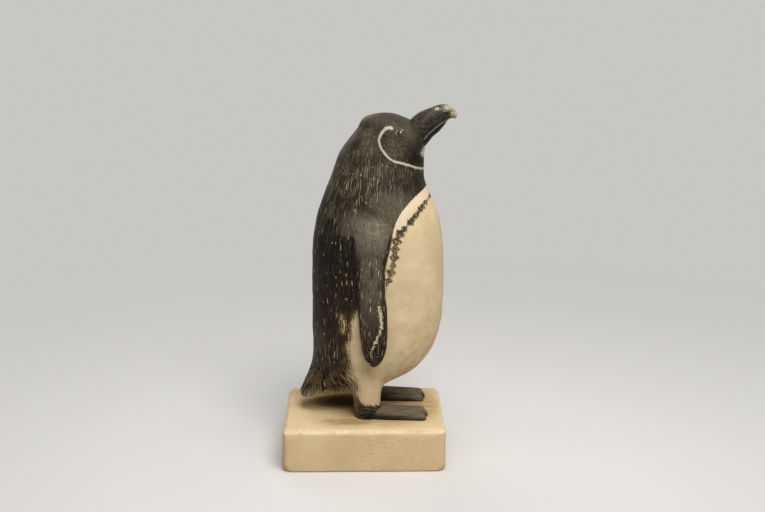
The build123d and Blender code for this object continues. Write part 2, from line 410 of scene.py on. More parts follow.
# Paint lines and spots on the bird's side, as x and z. A spot is x, z and its reach along each.
markings = {
    # front edge of the dark back, from the throat down behind the flipper to the leg and along the tail
    "backEdge": [
        (33, 108.2), (28.8, 106.9), (25.7, 105.3), (22.6, 103.2), (19.9, 100.9), (18, 98.9), (16.2, 96.6),
        (14.9, 94.4), (14, 92), (13.2, 89.6), (12.6, 87), (11.8, 82), (10, 76), (6, 68), (1, 60),
        (-2.6, 54.5), (-4.2, 50.5), (-5.3, 47), (-5.6, 43.5), (-5.4, 40), (-6.6, 38), (-7.6, 36),
        (-6.4, 32.5), (-5.6, 28), (-4.8, 24), (-3.6, 20), (-2.8, 17), (-3.0, 13.4), (-5.0, 11.6),
        (-10, 10.2), (-14, 9.8), (-19, 9.4), (-23, 8.4), (-26, 7.0), (-31, 4.5),
    ],
    # dark dabs down the breast
    "dabs": [
        (30.6, 102.6), (27.7, 100.2), (25.3, 97.9), (23, 95.3), (20.7, 92.9), (18, 90.4), (15.6, 87.3),
        (14.3, 83.8), (13.8, 79), (12.9, 74), (11.6, 69.5), (10.6, 66),
    ],
    # pale band round the face
    "faceBand": [
        (14.0, 133.5), (12.7, 134.0), (11.0, 134.1), (9.2, 132.9), (7.9, 131.0), (7.1, 128.8), (7.5, 126.5),
        (9.1, 123.7), (11.4, 121.2), (13.8, 119.6), (16.7, 118.8), (20.2, 117.6), (23.7, 116.1),
        (28.5, 114.4), (34, 113),
    ],
    "bandHalfWidth": 0.5,
    # pale patch on the chin: y, z and its reach along each, and the x that it starts at
    "chin": (0.0, 122.2, 7.0, 2.8),
    "chinFrom": 18.0,
    # bare sliver in the dark coat
    "sliver": [(-10.0, 50.5), (-9.6, 48.5), (-9.1, 46.4), (-9.3, 43.5)],
    "sliverHalfWidth": 0.15,
    # top of the dark cuff round the ankle, its reach out from its middle and the height it stays below
    "cuffTop": [
        (-9, 18), (-4.6, 13.6), (-3.0, 11.4), (-1.9, 9), (-0.8, 7.8), (0.6, 7.2), (2.4, 7.4), (4.6, 7),
        (7.5, 6.2), (10, 5.6),
    ],
    "cuffReach": 8.5,
    "cuffBelow": 16.0,
    # grey spots of rubbed wear and painted sheen on the shoulder, neck, cheek and crown, each with a strength
    "rubbed": [
        (2.8, 87.5, 12.5, 10.5, 1.0), (12.0, 99.5, 10.0, 6.5, 0.6), (3.4, 128.5, 4.5, 5.5, 0.3),
        (13.5, 126.5, 4.5, 4.5, 0.25), (9.0, 136.5, 9.0, 4.0, 0.18),
    ],
    # painted sheen in a softer grey spot round the eye, and painted shade on the dark throat below the bill
    "cheek": (17.5, 131.5, 6.0, 4.6),
    "cheekStrength": 0.42,
    "throat": (25.0, 120.4, 5.6, 5.2),
    # flipper's front strip, kept free of the painted sheen: its inner edge at one height and that edge's
    # slope
    "frontStrip": {"x": 8.0, "z": 74.0, "slope": 0.25},
    # hairline cracks on the shoulder
    "cracks": [
        [(-1.0, 93.3), (2.5, 93.5), (7, 93.0), (11.5, 92.8)],
        [(0.4, 91.0), (2.4, 89.8), (5.5, 89.4), (8.8, 90.6)],
    ],
    # the strokes go round this oval, with so many millimetres of them to one radian
    "girth": {"x": 6.6, "halfLength": 30.6, "halfWidth": 25.0, "reach": 28.0},
    # the tail's strokes spread from this point, at full width this far from it; apart makes its sides differ
    "tailFan": {"x": -20.0, "z": 34.0, "reach": 18.0, "apart": 40.0},
}
allDark, noBand, noChin = 50.0, -9.0, -1.0  # for pieces that are dark all over, without the band or the chin

# Legs: height, middle x, middle y and radius; and the ankles' middle x and y
legs = {
    "rows": [
        (-0.4, 1.7, 13.0, 6.0),
        (1.5, 1.7, 13.0, 6.1),
        (4.5, 1.6, 13.0, 6.5),
        (8.0, 1.3, 13.0, 6.4),
        (13.0, 1.2, 12.6, 7.2),
        (18.0, 1.4, 11.6, 8.4),
        (24.0, 1.4, 10.2, 8.2),
    ],
    "along": 50, "around": 72,
    "ankle": (2.0, 13.0),
}


# Brush direction as millimetres round the bird and down it
def brushFlow(points):
    x, y, z = points.T
    oval = markings["girth"]
    turn = np.arctan2(np.abs(y) / oval["halfWidth"], (x - oval["x"]) / oval["halfLength"])
    return pairUp(turn * oval["reach"] * np.where(y < 0, 1, -1), z)


# Brush direction on the tail: angle about the fan's point and distance from it, and across on the back face.
# The mask is 1 on the tail and 0 above it.
def tailFlow(points, normals):
    x, y, z = points.T
    fan = markings["tailFan"]
    away = np.hypot(x - fan["x"], z - fan["z"])
    side = np.arctan2(x - fan["x"], fan["z"] - z) * fan["reach"] + fan["apart"]
    back = smoothStep(0.55, 0.9, -normals[:, 0])
    across = side * np.where(y < 0, 1, -1) * (1 - back) + y * back
    mask = smoothStep(30, 20, z) * smoothStep(-2, -5, x)
    return pairUp(across, -away), mask


# Distance from the nearer ankle's axis
def ankleAway(points):
    midX, midY = legs["ankle"]
    return np.hypot(points[:, 0] - midX, np.abs(points[:, 1]) - midY)


# 1 round the ankles, 0 elsewhere
def ankleMask(points):
    return smoothStep(9.5, 7.5, ankleAway(points)) * smoothStep(15, 11, points[:, 2])


# Signed distances for the paint, + inside the dark coat or the pale band, and masks from 0 to 1: the grey of
# rubbed wear and painted sheen, which is also given back, the painted shade of the throat below the bill, and
# hush, which keeps the pale strokes off the sheen on the shoulder, the face, the throat and the ankles.
def paintBird(mesh, points, coat=None):
    x, y, z = points.T
    sideView = points[:, [0, 2]]

    def offLine(line, count):
        return lineDistance(sideView, smoothLine(line, count))

    ankle = ankleMask(points)
    if coat is None:
        cuff = np.minimum(-offLine(markings["cuffTop"], 24)[0], markings["cuffReach"] - ankleAway(points))
        cuff = np.where(z < markings["cuffBelow"], cuff, -allDark)
        coat = np.maximum(-offLine(markings["backEdge"], 70)[0], cuff)
        coat = np.minimum(coat, np.abs(offLine(markings["sliver"], 12)[0]) - markings["sliverHalfWidth"])
    band = markings["bandHalfWidth"] * (1 + 0.5 * smoothStep(129, 134, z))
    band -= np.abs(offLine(markings["faceBand"], 60)[0])
    band -= 4 * smoothStep(13.0, 14.6, x) * smoothStep(131, 132, z)  # ends above the eye
    chin = np.where(x > markings["chinFrom"], 1 - ovalReach(y, z, markings["chin"]), noChin)
    rub = np.zeros_like(x)
    for *spot, strength in markings["rubbed"]:
        rub = np.maximum(rub, strength * blob(x, z, spot, 4))
    # painted shade behind the flipper: the painted sheen is kept off there, so that it stays black
    rub *= 1 - smoothStep(-3.2, -4.4, x) * smoothStep(88.5, 86.5, z)  # black behind the flipper
    strip = markings["frontStrip"]
    ahead = x - strip["x"] - strip["slope"] * (z - strip["z"])
    rub *= 1 - smoothStep(-0.8, 0.8, ahead) * smoothStep(91, 87, z)
    grey = np.maximum(rub, markings["cheekStrength"] * blob(x, z, markings["cheek"]))
    # painted shade on the throat below the bill
    throat = blob(x, z, markings["throat"], 4)
    face = smoothStep(117, 126, z) * (0.45 + 0.5 * smoothStep(1, 8, x))
    face *= 1 - 0.25 * np.exp(-((x - 8) / 6) ** 2)
    face = np.maximum(face, 0.5 * smoothStep(6, 18, x) * smoothStep(92, 100, z))
    face = np.maximum(face, 0.9 * smoothStep(131, 136, z))
    setFields(
        mesh, coat=coat, band=band, chin=chin, throat=throat, ankle=ankle, height=z, rub=grey,
        hush=np.max((0.92 * rub, face, ankle, throat), axis=0),
        flow=brushFlow(points),
        dabs=pairUp(*offLine(markings["dabs"], 40)),
        cracks=pairUp(*(offLine(line, 20)[0] for line in markings["cracks"])),
    )
    return grey


# A leg is circles whose middle and radius follow the rows.
def legGrid(side):
    z, x, y, radius = (column[:, None] for column in smoothLine(legs["rows"], legs["along"]).T)
    turn = fullTurn(legs["around"])
    return np.stack((x + radius * np.cos(turn), side * y + radius * np.sin(turn), z + 0 * turn), -1)


body = {
    "along": 260, "around": 240, "voxel": 0.54, "evenRounds": 4,
    "insideHead": 0.5,  # the body runs on this far up inside the head, in table rows
    "headClearance": 0.22,
    "carvedLumps": 0.10,
    "tailGrooves": 0.22,
    "ankleRings": (2.1, 4.6),  # heights of the two grooves round the ankle
    "ringHalfWidth": 0.45,
    "ankleDepth": 0.22,
    "hipMiddle": (1.9, 11.8),
    "hipBlend": 60,  # rounds of easing where the legs join
}


# Trunk and legs joined through voxels, evened out, eased at the hips, then carved by
# depth * (lumps - 1.2), grooves along the tail's strokes and rings round the ankles.
def makeBody(material):
    low = smoothRows(birdRows, np.linspace(0, neckSpot, body["along"]))
    top = smoothRows(birdRows, np.linspace(neckSpot + 0.02, neckSpot + body["insideHead"], 8))
    top = top - np.array((1, 0, -1, 0, 1)) * body["headClearance"]
    trunk = ovals(np.concatenate((low, top)), body["around"])
    rough = meshOf("bodyRough", trunk, legGrid(rightSide), legGrid(leftSide))
    mesh = meshThrough(rough, "REMESH", mode="VOXEL", voxel_size=body["voxel"] / 1000)
    mesh.name = "body"
    points = meshPoints(mesh)
    everywhere = np.ones(len(points))
    for _ in range(body["evenRounds"]):  # evens out the voxel steps without shrinking the shape
        points = relax(mesh, points, everywhere * 0.5, 1)
        points = relax(mesh, points, everywhere * -0.52, 1)
    midX, midY = body["hipMiddle"]
    hip = smoothStep(8.5, 12.5, points[:, 2]) * smoothStep(26, 19, points[:, 2])
    hip *= smoothStep(15, 9, np.hypot(points[:, 0] - midX, np.abs(points[:, 1]) - midY))
    points = relax(mesh, points, hip * 0.6, body["hipBlend"])
    setPoints(mesh, points)
    flow, tail = tailFlow(points, meshNormals(mesh))
    shape = lumps(points, 15, 3) + 0.5 * lumps(points, 6, 4)
    groove = lumps(flow[:, :1], 1.7, 8) * tail
    carved = body["carvedLumps"] * (shape - 1.2) - body["tailGrooves"] * np.clip(groove, 0, None)
    carved *= smoothStep(0.5, 4, neckHeight - points[:, 2])
    rings = (points[:, 2:] - np.array(body["ankleRings"])) / body["ringHalfWidth"]
    rings = np.exp(-rings ** 2).sum(1) * ankleMask(points)
    carved -= body["ankleDepth"] * rings * (1 + 0.5 * lumps(points, 3, 6))
    points = swell(mesh, points, carved)
    paintBird(mesh, points)
    setFields(mesh, tailFlow=flow, tail=tail)
    addPiece("body_carving", mesh, material, "cream_paint", "body")


head = {"along": 190, "around": 300, "carvedLumps": 0.07}


# The bird's ovals from the neck seam to the crown, carved by depth * (lumps - 1) except at the seam.
def makeHead(material):
    rows = smoothRows(birdRows, np.linspace(neckSpot, len(birdRows) - 1, head["along"]))
    mesh = meshOf("head", ovals(rows, head["around"]))
    points = meshPoints(mesh)
    carved = head["carvedLumps"] * (lumps(points, 9, 12) - 1.0)
    points = swell(mesh, points, carved * smoothStep(0.5, 5, points[:, 2] - neckHeight))
    paintBird(mesh, points, allDark)
    addPiece("head_carving", mesh, material, "charcoal_paint", "head")


# Bill: rows from the face to the hook, lower edge first, and the mouth groove
bill = {
    "rows": [
        (24.6, 121.4, 17.6, 133.4, 5.2),
        (28.3, 124.6, 21.1, 136.6, 5.0),
        (31.6, 128.6, 25.2, 139.7, 4.4),
        (34.5, 131.2, 30.4, 141.9, 3.7),
        (37.0, 134.2, 35.2, 143.3, 3.1),
        (38.7, 136.6, 38.6, 143.0, 2.6),
        (40.5, 137.1, 41.0, 141.2, 2.0),
        (41.9, 137.1, 42.3, 139.4, 1.2),
        (42.2, 137.5, 42.4, 138.7, 0.6),
    ],
    "along": 170, "around": 140,
    "mouth": [(27.5, 128.4), (29.3, 130.4), (31.5, 132.4), (34.7, 134.9), (38.6, 137.3)],
    "grooveDepth": 0.75,
    "grooveAbove": 1.5,
    "grooveBelow": 0.35,
    "grooveEnd": (11.5, 14.0),  # lengths along it where it starts to fade and where it is gone
    # brown touch at the root and worn spots, as x, z and reach along each
    "rootTouch": (22.6, 134.6, 2.4, 1.3),
    "wornSpots": [(33.4, 141.5, 1.6, 1.0), (38.5, 142.0, 3.0, 1.5), (41.2, 139.2, 2.2, 2.6)],
}


# The bill's ovals, pressed in along the mouth line on both sides: depth * (1 - distance / width),
# slowly from above and steeply from below, so that the lower half keeps a ledge.
def makeBill(material):
    mesh = meshOf("bill", ovals(smoothLine(bill["rows"], bill["along"]), bill["around"]))
    points = meshPoints(mesh)
    x, y, z = points.T
    gap, run = lineDistance(points[:, [0, 2]], smoothLine(bill["mouth"], 30))
    mouth = 1 - smoothStep(*bill["grooveEnd"], run)
    width = np.where(gap > 0, bill["grooveAbove"], bill["grooveBelow"])
    close = np.clip(1 - np.abs(gap) / width, 0, 1) * mouth * smoothStep(0.3, 1.6, np.abs(y))
    setPoints(mesh, np.stack((x, y - np.sign(y) * bill["grooveDepth"] * close, z), -1))
    # below marks the lower mandible for its painted shade, ledge the mouth's ledge for a painted highlight
    setFields(
        mesh,
        worn=np.max([1 - ovalReach(x, z, spot) for spot in bill["wornSpots"]], axis=0),
        root=blob(x, z, bill["rootTouch"]),
        below=smoothStep(0.2, 0.7, -gap),
        ledge=np.exp(-((gap + 0.28) / 0.22) ** 2) * mouth,
    )
    addPiece("bill_carving", mesh, material, "charcoal_paint", "bill")


# Flippers: height, front x, back x, how far the outer and inner faces lie off the bird's side,
# and feathering, which is 1 where the edges run out flush with the shoulder
flipper = {
    "rows": [
        (97.5, 11.0, -8.0, -0.6, -3.0, 1.0),
        (94.5, 12.4, -8.8, 0.05, -3.4, 1.0),
        (91.8, 13.0, -8.6, 1.0, -3.8, 1.0),
        (89.2, 13.2, -6.4, 2.1, -4.0, 0.8),
        (86.2, 12.8, -4.4, 3.1, -3.8, 0.4),
        (83.0, 12.0, -3.8, 3.6, -3.4, 0.15),
        (79.0, 11.0, -3.4, 3.85, -3.0, 0.0),
        (75.0, 10.2, -3.2, 3.9, -2.7, 0.0),
        (65.0, 9.6, -3.1, 3.9, -1.9, 0.0),
        (54.0, 10.5, -2.6, 4.5, -0.7, 0.0),
        (44.0, 10.7, -1.8, 5.2, 0.6, 0.0),
        (36.0, 10.1, -0.8, 5.4, 1.4, 0.0),
        (31.0, 8.5, 0.5, 5.2, 2.0, 0.0),
        (28.5, 6.4, 2.2, 4.7, 2.7, 0.0),
        (27.9, 5.2, 3.4, 4.2, 3.2, 0.0),
    ],
    "along": 220, "around": 120,
    "bury": 0.3,  # how deep the feathered edges lie under the bird's skin
    "carvedLumps": 0.08,
    "girth": 6.2,  # millimetres of brush flow to one radian round it
    # worn patch: x, z and half width along it
    "wornLine": {
        rightSide: [
            (7.0, 57.0, 0.45), (7.2, 54.4, 0.75), (7.5, 51.9, 0.55), (7.8, 46.8, 0.6), (6.9, 44, 0.4),
            (5.7, 41.6, 0.5), (3.7, 37, 0.25),
        ],
        leftSide: [(5.2, 66, 0.3), (5.9, 60, 0.6), (6.6, 54.5, 0.7), (6.1, 50, 0.3)],
    },
    # nibbled rear edge of the tip, as above
    "tipWear": [(-0.4, 34.5, -0.2), (0.7, 31.4, 0.15), (1.9, 29.6, 0.3), (3.6, 28.2, -0.1)],
}
flipperTable = smoothLine(flipper["rows"], flipper["along"])


# Outer and inner face of a flipper at x and z, measured out from the bird's middle plane.
# A square edge is middle +- half * (1 - |u|^2.5)^0.4, a feathered one is (1 - |u|^3)^2 over the bird's skin.
def flipperFaces(x, z):
    front, back, skin, root, feather = (
        np.interp(z, flipperTable[::-1, 0], flipperTable[::-1, k]) for k in range(1, 6)
    )
    u = np.clip((2 * x - front - back) / (front - back), -1, 1)
    feather = feather * np.where(u < 0, smoothStep(86, 89, z), 1)  # the rear edge stands out sooner
    square = (1 - np.abs(u) ** 2.5) ** 0.4
    middle, half = (skin + root) / 2, (skin - root) / 2
    soft = (skin + flipper["bury"]) * (1 - np.abs(u) ** 3) ** 2 - flipper["bury"]
    side = birdSide(x, z)
    outer = side + feather * soft + (1 - feather) * (middle + half * square)
    inner = side + feather * root + (1 - feather) * (middle - half * square)
    return outer, inner


# How far inside a worn line each point lies: the line's half width there less the distance from it.
def wearAlong(sideView, rows):
    line = smoothLine(rows, 30)
    gap, run = lineDistance(sideView, line[:, :2])
    return np.interp(run, runLengths(line[:, :2]), line[:, 2]) - np.abs(gap)


# Closed loops from height to height: x goes round as cos^0.8, y is the outer face and then the inner one.
def makeFlipper(side, material):
    z, front, back = (column[:, None] for column in flipperTable.T[:3])
    turn = fullTurn(flipper["around"])
    x = (front + back) / 2 + (front - back) / 2 * np.sign(np.cos(turn)) * np.abs(np.cos(turn)) ** 0.8
    z = z + 0 * x
    y = np.where(np.sin(turn) >= 0, *flipperFaces(x, z))
    mesh = meshOf(sideNames[side] + "Flipper", np.stack((x, side * y, z), -1))
    points = meshPoints(mesh)
    carved = flipper["carvedLumps"] * (lumps(points, 8, 21 + side) - 1.2)
    points = swell(mesh, points, carved * smoothStep(88, 76, points[:, 2]))
    grey = paintBird(mesh, points, allDark)
    x, y, z = points.T
    sideView = points[:, [0, 2]]
    wear = np.maximum(wearAlong(sideView, flipper["wornLine"][side]), wearAlong(sideView, flipper["tipWear"]))
    face = smoothStep(9.5, 6.5, x) * smoothStep(-2.5, -0.5, x) * smoothStep(34, 70, z)
    girth = np.tile((turn + math.pi / 2) % (2 * math.pi) * flipper["girth"], len(flipperTable))
    girth = np.concatenate((girth, [0, 0]))  # the two end middles
    setFields(
        mesh, band=noBand, chin=noChin, wing=1.0,
        # painted sheen, with rubbed wear, on the flipper's face below the shoulder
        rub=np.maximum(face * smoothStep(88, 76, z), grey),
        flow=pairUp(girth * side, z),
        wear=wear - 5 * (y * side < 20),  # none on the inner face
    )
    name = sideNames[side] + "_flipper"
    addPiece(name + "_carving", mesh, material, "charcoal_paint", name)


# Putty plug over each shoulder peg: a round patch level with the flipper's skin
plug = {"radius": 2.1, "depth": 1.6, "proud": 0.03, "rings": 10, "around": 48}


# Circles that widen over the flipper's outer face and then sink straight in.
def makePlug(side, material):
    name = sideNames[side] + "_shoulder_plug"
    low, high = nodeBox(name)
    middle = (low + high) / 2
    radius = np.concatenate((np.linspace(0.1, 1, plug["rings"]), np.ones(3))) * plug["radius"]
    sink = np.concatenate((np.zeros(plug["rings"]), (0.1, 0.8, plug["depth"])))
    turn = fullTurn(plug["around"])
    x = middle[0] + radius[:, None] * np.cos(turn)
    z = middle[2] + radius[:, None] * np.sin(turn)
    outer, _ = flipperFaces(x, z)
    y = outer + plug["proud"] - sink[:, None]
    mesh = meshOf(name, np.stack((x, side * y, z), -1))
    paintBird(mesh, meshPoints(mesh), allDark)
    addPiece(name + "_patch", mesh, material, "putty", name)


# Feet: sizes, and the toes as shares of the half width
foot = {
    "along": 110, "around": 180, "middle": 13.0, "heelX": 4.6, "length": 25.1,
    "heelHalf": 5.2, "toeHalf": 7.5, "heelHeight": 4.9, "toeHeight": 2.5, "sole": -0.35,
    "middleLead": 0.9, "leadReach": 0.34, "cornerLoss": 1.5,
    "notch": 1.7, "notchReach": 0.08, "toePitch": 0.68, "ridge": 0.36,
}


# A foot's top is height(s) * (1 - |q|^10)^0.3 over a fan of lines from heel to toe; s runs along, q across.
# Ridges and grooves run down the toes, and notches part their ends.
def makeFoot(side, material):
    s = np.sin(np.linspace(0, math.pi / 2, foot["along"]))[:, None]
    turn = fullTurn(foot["around"])
    q = np.cos(turn)[None]
    toes = np.cos(q * 2 * math.pi / foot["toePitch"])
    reach = foot["length"] - foot["middleLead"] * (1 - np.exp(-(q / foot["leadReach"]) ** 2))
    between = (np.abs(q) - foot["toePitch"] / 2) / foot["notchReach"]
    reach = reach - foot["notch"] * np.exp(-between ** 2) - foot["cornerLoss"] * np.abs(q) ** 12
    half = foot["heelHalf"] + (foot["toeHalf"] - foot["heelHalf"]) * s ** 0.65
    height = foot["heelHeight"] + (foot["toeHeight"] - foot["heelHeight"]) * s
    height = height * (1 - 0.2 * np.abs(q) ** 2.2) + foot["ridge"] * (0.15 + 0.85 * s) * toes
    height = height * (1 - s ** 24) ** 0.4  # rounds off the toes' ends
    top = height * np.clip(1 - np.abs(q) ** 10, 0, 1) ** 0.3
    z = np.where(np.sin(turn)[None] >= 0, top, foot["sole"])
    x = foot["heelX"] + s * reach
    y = side * foot["middle"] + half * q
    mesh = meshOf(sideNames[side] + "Foot", np.stack((x, y + 0 * x, z), -1))
    # the upward faces get a painted sheen
    setFields(mesh, top=smoothStep(-0.25, 0.95, meshNormals(mesh)[:, 2]))
    name = sideNames[side] + "_foot"
    addPiece(name + "_carving", mesh, material, "charcoal_paint", name)


# Eyes: a glass bead, and a putty lid raised round it, as radius and lift
eye = {
    "around": 48, "beadRows": 32,
    "lid": [
        (2.7, -0.9), (2.7, -0.06), (2.4, 0.08), (2.1, 0.26), (1.85, 0.34), (1.6, 0.24), (1.42, 0.0),
        (1.4, -0.9),
    ],
    "lidRows": 40, "lidLumps": 0.25,
}


# Bead: a ball. Lid: the lid's profile, radius and lift, carried round the eye on the bird's side.
def makeEye(side, glass, putty):
    name = sideNames[side] + "_eye_bead"
    low, high = nodeBox(name)
    middle, radius = (low + high) / 2, (high[0] - low[0]) / 2
    turn = fullTurn(eye["around"])
    tilt = np.linspace(0.02, math.pi - 0.02, eye["beadRows"])[:, None]
    ball = np.stack((np.sin(tilt) * np.cos(turn), np.cos(tilt) + 0 * turn, np.sin(tilt) * np.sin(turn)), -1)
    addPiece(name + "_ball", meshOf(name, middle + radius * ball), glass, "dark_glass", name)
    profile = smoothLine(eye["lid"], eye["lidRows"])
    lift = profile[:, 1:]
    lumpy = 1 + eye["lidLumps"] * np.sin(3 * turn + side) * (lift > 0)
    x = middle[0] + profile[:, :1] * np.cos(turn)
    z = middle[2] + profile[:, :1] * np.sin(turn)
    y = birdSide(x, z) + lift * lumpy
    mesh = meshOf(name + "Lid", np.stack((x, side * y, z), -1), ring=True)
    setFields(mesh, lift=(lift * (0.5 + 0.5 * np.sin(turn))).ravel())  # worn along its upper side
    node = sideNames[side] + "_eye_putty"
    addPiece(node + "_lid", mesh, putty, "putty", node)


# Block: half sizes, edge roundings and wear. Places are x and y from the block's middle.
block = {
    "halfLength": 37.0, "halfWidth": 30.0, "height": 20.0, "corner": 2.6, "footRounding": 1.0,
    "footCorner": 2.4,  # corners grow this much rounder towards the floor
    "easeIn": 2.2, "easeDown": 1.7,  # the worn top edge: how far in and how far down
    "uneven": 0.04, "edgeWear": 0.16,
    "dents": [  # along the top edge: place, size and depth
        (24.0, -30.0, 2.6, 1.1), (28.0, -30.0, 1.5, 0.7), (19.0, -30.0, 1.8, 0.5), (-17.0, -30.0, 2.2, 0.4),
        (32.5, -30.0, 1.8, 0.4), (-33.0, -30.0, 2.6, 0.6), (4.0, -30.0, 2.4, 0.4), (37.0, -12.0, 2.4, 0.5),
        (37.0, 14.0, 1.8, 0.4), (-37.0, 8.0, 2.2, 0.5), (-37.0, -20.0, 1.6, 0.4), (12.0, 30.0, 2.6, 0.5),
        (-20.0, 30.0, 2.0, 0.4),
    ],
    "chips": [  # bare wood along the top edge: place and size
        (-33.0, -30.0, 2.6), (-29.0, -30.0, 1.6), (25.0, -30.0, 1.2), (37.0, 15.0, 1.4), (-10.0, 30.0, 1.6),
    ],
    "nicked": {"x": 12.0, "reach": 17.0},  # where the front wall is nicked
    # soiled spots and the painted shadow under the tail on the top, as x, y and reach along each in the
    # bird's frame
    "soilFeet": (12.0, 0.0, 26.0, 26.0), "soilAhead": (-6.0, -21.0, 18.0, 7.0),
    "tailShadowSpot": (-9.5, 7.5, 16.0, 10.5),
    "screwHole": [(3.2, -21.0), (3.2, -18.8), (1.7, -16.8), (1.7, -1.5)],  # radius and height
    "screwPlace": (1.9, 13.0),
    # points along each stretch of the loop and of the profile
    "cornerSteps": 12, "longSteps": 84, "shortSteps": 68, "flatSteps": 38, "footSteps": 9, "wallSteps": 30,
    "easeSteps": 10, "screwSteps": 40,
}


# Rounded rectangle of given half sizes and corner radius: each corner's arc, then the straight run on.
def roundedLoop(halfX, halfY, radius):
    arc = np.linspace(0, math.pi / 2, block["cornerSteps"])
    steps = (block["longSteps"], block["shortSteps"])
    corners = []
    for number, (signX, signY) in enumerate(((1, 1), (-1, 1), (-1, -1), (1, -1))):
        turn = arc + number * math.pi / 2
        spot = np.array((signX * (halfX - radius), signY * (halfY - radius)))
        corners.append(spot + radius * np.stack((np.cos(turn), np.sin(turn)), -1))
    pieces = []
    for number, corner in enumerate(corners):
        after = corners[(number + 1) % 4][0]
        share = np.linspace(0, 1, steps[number % 2])[1:-1, None]
        pieces += [corner, corner[-1] + (after - corner[-1]) * share]
    return np.concatenate(pieces)


# Inset and height from the underside's middle out, up the wall and in over the top.
def blockProfile():
    low, easeIn, easeDown, floor = block["footRounding"], block["easeIn"], block["easeDown"], -block["height"]
    inner = np.linspace(block["halfWidth"] - 0.6, 3.2, block["flatSteps"])
    arc = np.linspace(0, math.pi / 2, block["footSteps"])
    wall = np.linspace(floor + low, -easeDown, block["wallSteps"])[1:-1]
    profile = [(inset, floor) for inset in inner]
    profile += [(low * (1 - np.sin(t)), floor + low * (1 - np.cos(t))) for t in arc]
    profile += [(0.0, z) for z in wall]
    profile += [(easeIn * t, -easeDown * (1 - t) ** 1.6) for t in np.linspace(0, 1, block["easeSteps"])]
    return profile + [(inset, 0.0) for inset in inner[::-1]]


# Place from the block's middle, and how far in from its nearest wall
def blockPlace(points):
    place = points + np.array((0, standPlace[1], 0))
    inward = np.minimum(block["halfLength"] - np.abs(place[:, 0]), block["halfWidth"] - np.abs(place[:, 1]))
    return place, inward


# The block is one loop carried along its profile, pressed in by lumps, a worn edge and dents.
def makeBlock(material):
    loops = []
    for inset, z in blockProfile():
        rounder = block["footCorner"] * smoothStep(3.5 - block["height"], -block["height"], z)
        corner = max(block["corner"] + rounder - inset, 0.25)
        loop = roundedLoop(block["halfLength"] - inset, block["halfWidth"] - inset, corner)
        loops.append(np.column_stack((loop, np.full(len(loop), z))))
    mesh = meshOf("block", np.stack(loops) - np.array((0, standPlace[1], 0)))
    points = meshPoints(mesh)
    place, inward = blockPlace(points)
    press = block["uneven"] * (lumps(points, 22, 31) - 0.9)
    edge = np.exp(-((place[:, 2] + 0.8) / 1.3) ** 2 - (inward / 1.6) ** 2)
    press -= block["edgeWear"] * edge * np.clip(0.8 + lumps(points, 5, 32), 0, None)
    for x, y, size, depth in block["dents"]:
        press -= depth * np.exp(-((place - np.array((x, y, -0.6))) ** 2).sum(1) / size ** 2)
    swell(mesh, points, np.minimum(press, 0) * smoothStep(0.1, 1.0, points[:, 2] + block["height"]))
    turn = fullTurn(block["screwSteps"])
    radius, height = (column[:, None] for column in np.array(block["screwHole"]).T)
    screwX, screwY = block["screwPlace"]
    holes = []
    for side in sideNames:
        hole = (screwX + radius * np.cos(turn), side * screwY + radius * np.sin(turn), height + 0 * turn)
        holes.append(np.stack(hole, -1))
    cutter = addObject("screwHoles", meshOf("screwHoles", *holes))
    mesh = meshThrough(mesh, "BOOLEAN", operation="DIFFERENCE", solver="EXACT", object=cutter)
    bpy.data.objects.remove(cutter)
    soilBlock(mesh)
    addPiece("base_block_wood", mesh, material, "cream_paint", "base_block")


# Masks from 0 to 1 for the block's paint: worn edge with painted highlight, soil, painted shadow under the
# tail, chips and nicks
def soilBlock(mesh):
    points = meshPoints(mesh)
    x, y, z = points.T
    place, inward = blockPlace(points)
    onTop = smoothStep(-1.5, -0.2, z)
    feet = 0.9 * smoothStep(1.25, 0.6, ovalReach(x, y, block["soilFeet"]))
    ahead = smoothStep(1.1, 0.3, ovalReach(x, y, block["soilAhead"]))
    # painted shadow on the top under the tail
    under = smoothStep(1.3, 0.3, ovalReach(x, y, block["tailShadowSpot"]))
    # pale top edge: worn paint and a painted highlight
    edge = np.exp(-((z + 0.7) / 1.1) ** 2 - (inward / 1.8) ** 2)
    chip = np.zeros(len(points))
    for chipX, chipY, size in block["chips"]:
        away = (place - np.array((chipX, chipY, -1.3))) / np.array((size, 0.9, 0.8))
        chip = np.maximum(chip, np.exp(-(away ** 2).sum(1)))
    nicked = np.exp(-((x - block["nicked"]["x"]) / block["nicked"]["reach"]) ** 4)
    front = place[:, 1] < 1 - block["halfWidth"]
    setFields(
        mesh, chip=chip, soil=np.maximum(feet, ahead) * onTop, grime=under * onTop,
        edge=edge * smoothStep(-2.0, -1.6, z),
        nicked=nicked * front * smoothStep(-2, -3.5, z),
    )


# Colours as linear red, green and blue
tones = {
    "cream": (0.56, 0.43, 0.25),
    "creamPale": (0.65, 0.52, 0.325),
    "creamBright": (0.71, 0.59, 0.41),
    "creamShade": (0.34, 0.23, 0.10),
    "charcoal": (0.0048, 0.0040, 0.0026),
    "charcoalGrey": (0.017, 0.0140, 0.0093),
    # grey of rubbed wear and painted sheen, also used for the ankles' streaks
    "rubbed": (0.133, 0.111, 0.075),
    "umber": (0.100, 0.058, 0.021),
    "olive": (0.070, 0.058, 0.034),
    "footGrey": (0.172, 0.136, 0.090),
    "soot": (0.024, 0.014, 0.005),
    "amber": (0.19, 0.117, 0.040),
    "chip": (0.54, 0.32, 0.17),
    "stroke": (0.52, 0.43, 0.27),
    "bandWhite": (0.46, 0.41, 0.30),
    # grey for a painted highlight along the bill's ledge
    "sheen": (0.24, 0.225, 0.20),
    "blockCream": (0.54, 0.40, 0.22),
    "blockPale": (0.62, 0.475, 0.275),
    "blockWornHighlight": (0.80, 0.645, 0.43),
    "beadDark": (0.006, 0.005, 0.004),
    "beadBrown": (0.022, 0.017, 0.012),
    "wood": (0.36, 0.22, 0.10),
    "woodPale": (0.52, 0.35, 0.18),
    "steel": (0.42, 0.41, 0.39),
    "rust": (0.16, 0.07, 0.03),
}


